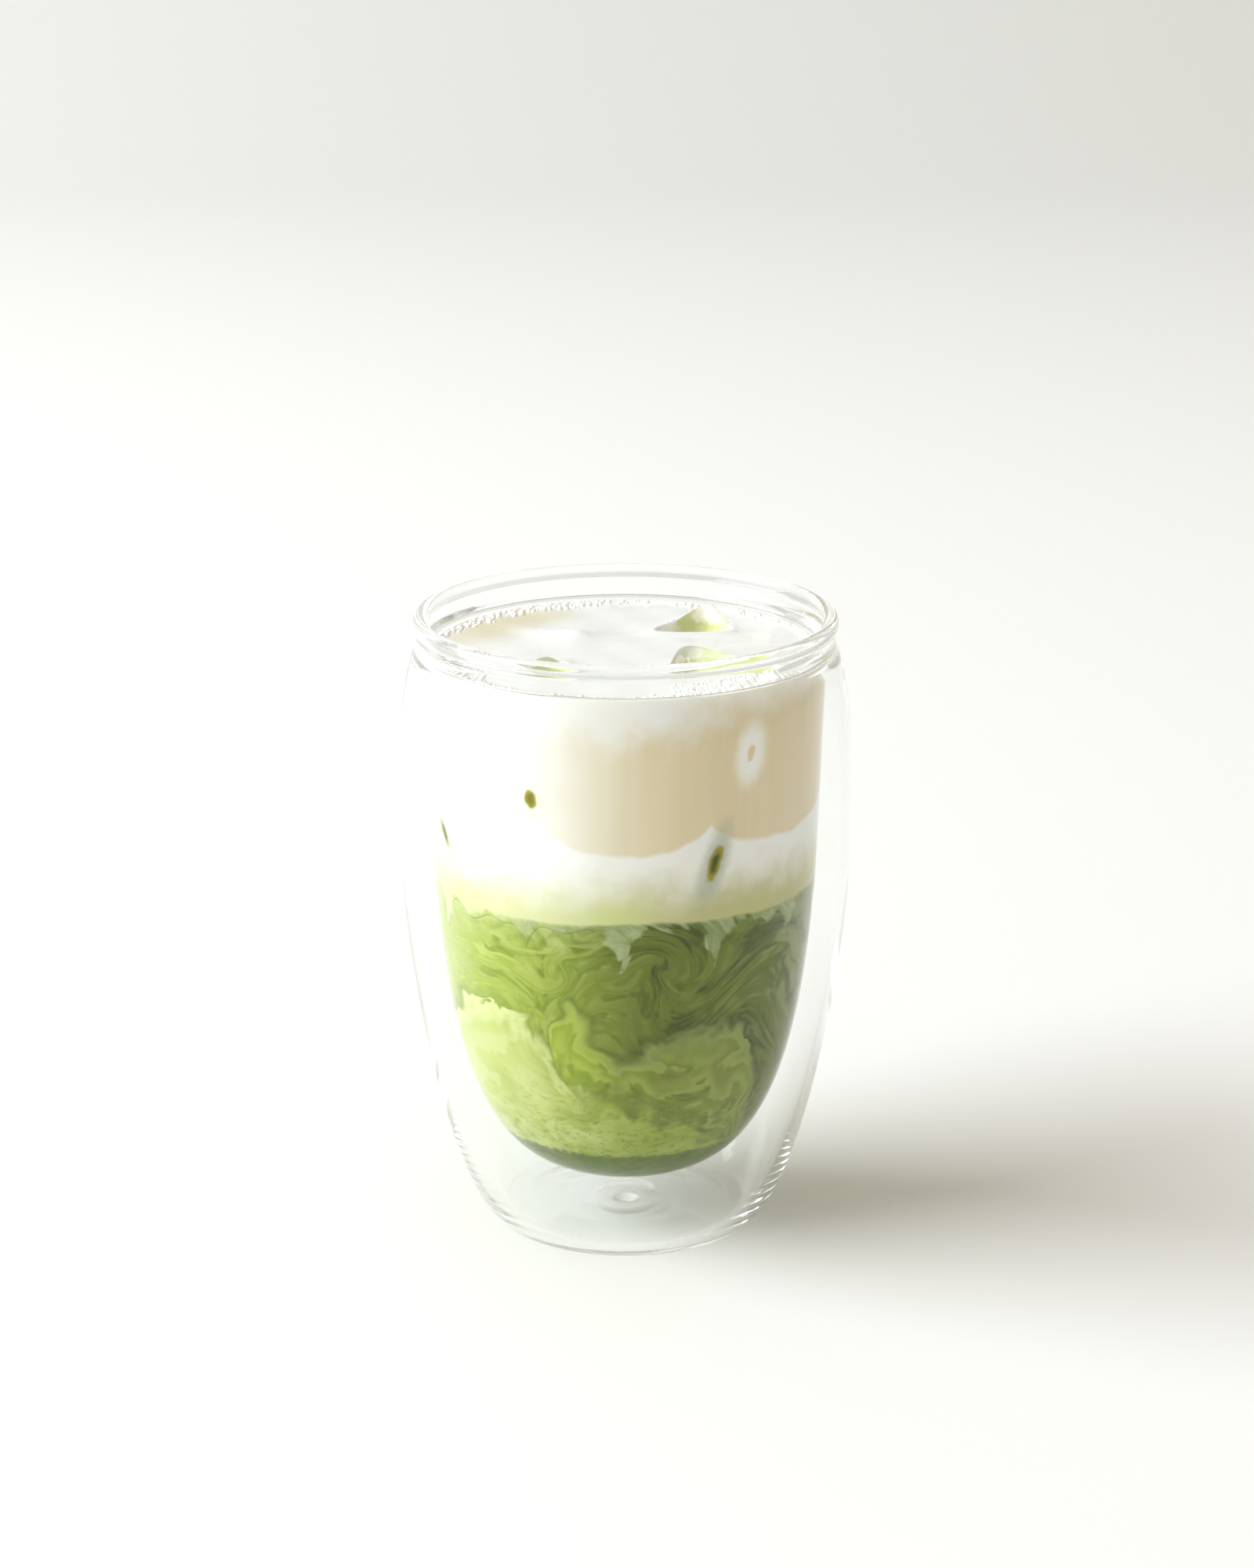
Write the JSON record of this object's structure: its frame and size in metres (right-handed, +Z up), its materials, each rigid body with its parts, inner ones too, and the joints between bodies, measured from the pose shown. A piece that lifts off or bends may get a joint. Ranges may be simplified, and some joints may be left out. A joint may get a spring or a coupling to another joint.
{
  "type": "iced matcha latte",
  "caption": "Iced latte in a clear double-walled tumbler: milk over green matcha with milk tongues between the layers and melted ice cubes that rise above the milk.",
  "frame": {"origin": "centre of the foot, on the table", "axes": "+Z up along the tumbler's axis, -Y towards the side whose milk shows the front window of ice, +X to that side's right"},
  "size_m": [0.0898, 0.0897, 0.126],
  "materials": {
    "clear_glass": "clear, fire-polished",
    "milk": "wet liquid, opaque",
    "matcha": "wet liquid, cloudy",
    "ice": "wet, half melted"
  },
  "bodies": {
    "root": {"glass": "clear_glass", "milk": "milk", "matcha": "matcha", "ice_left": "ice", "ice_front": "ice", "ice_back": "ice", "ice_middle": "ice", "ice_low_right": "ice", "ice_low_left": "ice"}
  },
  "joints": []
}
